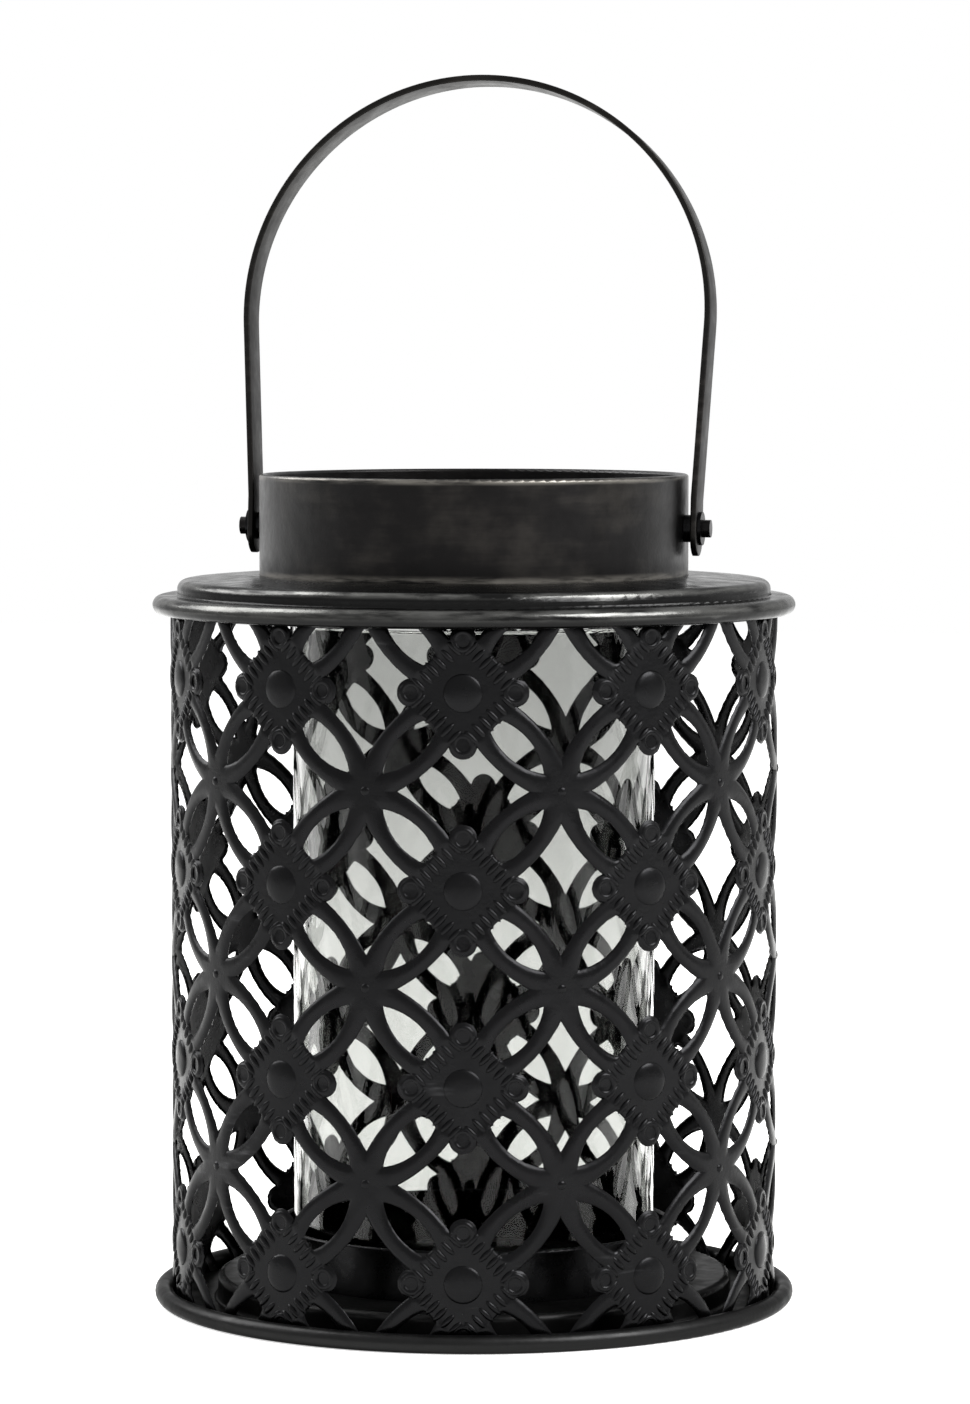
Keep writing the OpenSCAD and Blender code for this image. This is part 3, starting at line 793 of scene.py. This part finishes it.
DOT_R, DOT_RISE, SUNK = 1.5, 0.6, 0.1
made = bmesh.new()
dome(made, (0, 0, BAND_RISE - SUNK), 0, DOT_R, DOT_R, DOT_RISE, 12, 3)
knot_forms = keep(made, "knot forms")
print("forms on a knot:", len(knot_forms.data.polygons), "faces")

# %% Round outlines
def round_outline(made, centre, radius, half_width, height, sides=20, section=6):
    """A raised ring round a centre (u, v, z) on the flat square, in mm."""
    u0, v0, z0 = centre
    lines = []
    for k in range(sides):
        a = 2 * math.pi * k / sides
        line = []
        for j in range(section):
            b = 2 * math.pi * j / section
            out = radius + half_width * math.cos(b)
            line.append(made.verts.new(((u0 + out * math.cos(a)) * MM, (v0 + out * math.sin(a)) * MM,
                                        (z0 + height * math.sin(b)) * MM)))
        lines.append(line)
    for k in range(sides):
        here, after = lines[k], lines[(k + 1) % sides]
        for j in range(section):
            made.faces.new((here[j], after[j], after[(j + 1) % section], here[(j + 1) % section]))


OUTLINE_R, OUTLINE_HALF_W, OUTLINE_RISE, OUTLINE_SUNK = 2.9, 0.85, 0.5, 0.3
print("outline on a lobe:", 2 * (OUTLINE_R + OUTLINE_HALF_W), "mm across")

# %% The forms on one medallion
BOSS_R, BOSS_RISE = 6.2, 1.3
RIDGES, RIDGE_STEP, RIDGE_FROM, RIDGE_TO, RIDGE_W, RIDGE_RISE = 6, 3.2, 8.6, 15.2, 2.1, 0.95

made = bmesh.new()
dome(made, (0, 0, PLAQUE_RISE - SUNK), 0, BOSS_R, BOSS_R, BOSS_RISE, 28, 6)
for quarter in range(4):
    turn = math.pi / 4 + quarter * math.pi / 2
    way, side = (math.cos(turn), math.sin(turn)), (-math.sin(turn), math.cos(turn))
    s = (RIDGE_FROM + RIDGE_TO) / 2
    for k in range(RIDGES):
        w = (k - (RIDGES - 1) / 2) * RIDGE_STEP
        dome(made, (s * way[0] + w * side[0], s * way[1] + w * side[1], PLAQUE_RISE - SUNK), turn,
             (RIDGE_TO - RIDGE_FROM) / 2, RIDGE_W / 2, RIDGE_RISE, 10, 3)
    turn = quarter * math.pi / 2
    round_outline(made, (LOBE_AT * math.cos(turn), LOBE_AT * math.sin(turn), BAND_RISE - OUTLINE_SUNK),
                  OUTLINE_R, OUTLINE_HALF_W, OUTLINE_RISE)
medallion_forms = keep(made, "medallion forms")
print("forms on a medallion:", len(medallion_forms.data.polygons), "faces")

# %% Roll the forms
half_column = COLUMN_PITCH / 2
for vertex in knot_forms.data.vertices:
    vertex.co.x += half_column
for flat, name, rows, first in ((medallion_forms, "medallion_ornament", ROWS, FIRST_ROW),
                                (knot_forms, "knot_ornament", ROWS - 1, FIRST_ROW + ROW_PITCH / 2)):
    mesh = roll(flat, name, rows, first)
    shade(mesh, 60)
    ornament = bpy.data.objects.new(name, mesh)
    scene.collection.objects.link(ornament)
    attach(ornament, "lantern")
    print(name, len(mesh.polygons), "faces")

# %% [markdown]
# ## The strap handle
#
# A strap of flat bar, bent over a former to an arch whose straight ends hang beside the collar. Its long
# edges were broken with a file, so they catch a thin line of light, and its ends are rounded and drilled.
# A bevelled curve could be used, but it couldn't narrow the strap at its rounded ends without thinning it.
# So a section, a rounded rectangle, is set at places along one line, the middle of the strap's thickness,
# which keeps the arch perfectly smooth.

# %% The strap's line
STRAP_W, STRAP_T = 14 * MM, 2 * MM
PIVOT_Z = 257.1594 * MM
STRAP_OUT, ARCH_R, ARCH_RISE, TAB_H, STRAP_END = [v * MM for v in (75.65, 78.85, 70.8, 10, 9)]
LEAN = math.radians(6.5)
END_TURN = math.radians(86)


def strap_line(arch_steps=96, end_steps=10):
    """Places along the strap's middle line, from end to end: x, height, turn and half the width."""
    reach = math.hypot(STRAP_OUT, ARCH_RISE - TAB_H)
    leg_turn = math.atan2(ARCH_RISE - TAB_H, STRAP_OUT) - math.acos(ARCH_R / reach)
    middle, half, middle_r = STRAP_OUT - STRAP_T / 2, STRAP_W / 2, ARCH_R - STRAP_T / 2
    right = []
    for k in range(end_steps + 1):
        a = -END_TURN * (1 - k / end_steps)
        right.append((middle, half - STRAP_END + half * math.sin(a), 0, half * math.cos(a)))
    right += [(middle, height, 0, half) for height in (0, TAB_H * 0.6, TAB_H * 0.97)]
    arch = []
    for k in range(arch_steps + 1):
        a = -leg_turn + k * (math.pi + 2 * leg_turn) / arch_steps
        arch.append((middle_r * math.cos(a), ARCH_RISE + middle_r * math.sin(a), a, half))
    left = [(-x, height, math.pi, width) for x, height, turn, width in right[::-1]]
    return right + arch + left


print("places along the strap:", len(strap_line()))

# %% Sweep the strap
FILED_R = 0.45 * MM


def sweep_strap():
    """The strap as one closed mesh, upright, with the pivots at its origin's height."""
    made = bmesh.new()
    loops = []
    for x, height, turn, half in strap_line():
        r = min(FILED_R, half * 0.4)
        loop = []
        for sx, sy, start in ((1, 1, 0), (-1, 1, 90), (-1, -1, 180), (1, -1, 270)):
            for step in range(4):
                b = math.radians(start + step * 30)
                across = sy * (half - r) + r * math.sin(b)
                thick = sx * (STRAP_T / 2 - r) + r * math.cos(b)
                loop.append(made.verts.new((x + thick * math.cos(turn), across,
                                            height + thick * math.sin(turn))))
        loops.append(loop)
    for a, b in zip(loops, loops[1:]):
        for k in range(len(a)):
            made.faces.new((a[k], a[(k + 1) % len(a)], b[(k + 1) % len(a)], b[k]))
    made.faces.new(loops[0][::-1])
    made.faces.new(loops[-1])
    bmesh.ops.recalc_face_normals(made, faces=made.faces)
    return keep(made, "smooth_strap")


strap = sweep_strap()
scene.collection.objects.link(strap)
print("strap before drilling:", len(strap.data.polygons), "faces")

# %% Drill the strap and lean it back
DRILL_R, DRILL_L = 2.06 * MM, 200 * MM

made = bmesh.new()
bmesh.ops.create_cone(made, cap_ends=True, segments=40, radius1=DRILL_R, radius2=DRILL_R, depth=DRILL_L)
bmesh.ops.rotate(made, verts=made.verts, matrix=Matrix.Rotation(math.pi / 2, 3, "Y"))
drill = keep(made, "drill")
scene.collection.objects.link(drill)
holes = strap.modifiers.new("holes", "BOOLEAN")
holes.operation, holes.object = "DIFFERENCE", drill
strap.data = plain_mesh(strap)
bpy.data.objects.remove(drill)
strap.data.transform(Matrix.Translation((0, 0, PIVOT_Z)) @ Matrix.Rotation(-LEAN, 4, "X"))
shade(strap.data, 40)
finish_with(strap.data, strap_iron)
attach(strap, "handle")
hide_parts("handle_strap")
print("strap:", len(strap.data.polygons), "faces")
